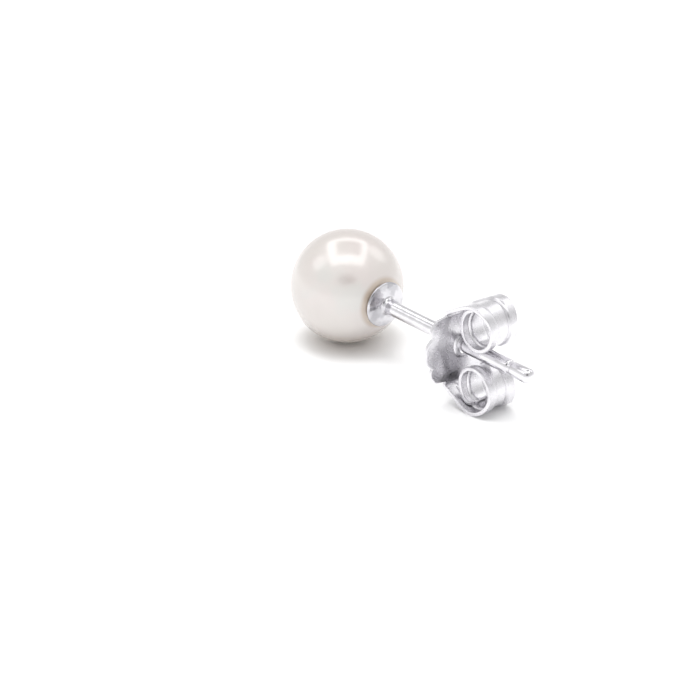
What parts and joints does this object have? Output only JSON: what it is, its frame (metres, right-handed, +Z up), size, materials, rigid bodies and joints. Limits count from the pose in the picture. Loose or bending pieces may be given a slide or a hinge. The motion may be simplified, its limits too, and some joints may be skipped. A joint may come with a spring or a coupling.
{
  "type": "pearl stud earring with butterfly back",
  "caption": "Round white pearl on a white-metal cup and straight post, with a scrolled butterfly back that slides on the post. Pierced-ear stud, shown unworn.",
  "frame": {"origin": "on the surface it lies on, under the middle of its box", "axes": "+X from the pearl along the post to its tip, +Y sideways, +Z up"},
  "size_m": [0.0167, 0.006, 0.006],
  "materials": {
    "pearl_nacre": "lustrous nacre",
    "white_gold": "polished"
  },
  "bodies": {
    "stud": {"pearl": "pearl_nacre", "cup_and_post": "white_gold"},
    "butterfly_back": {"butterfly_back": "white_gold"}
  },
  "joints": [
    {"name": "back_slide", "type": "slide", "parent": "stud", "child": "butterfly_back", "axis": [1, 0, -0.0067], "range_m": [-0.0047, 0.0051]}
  ]
}
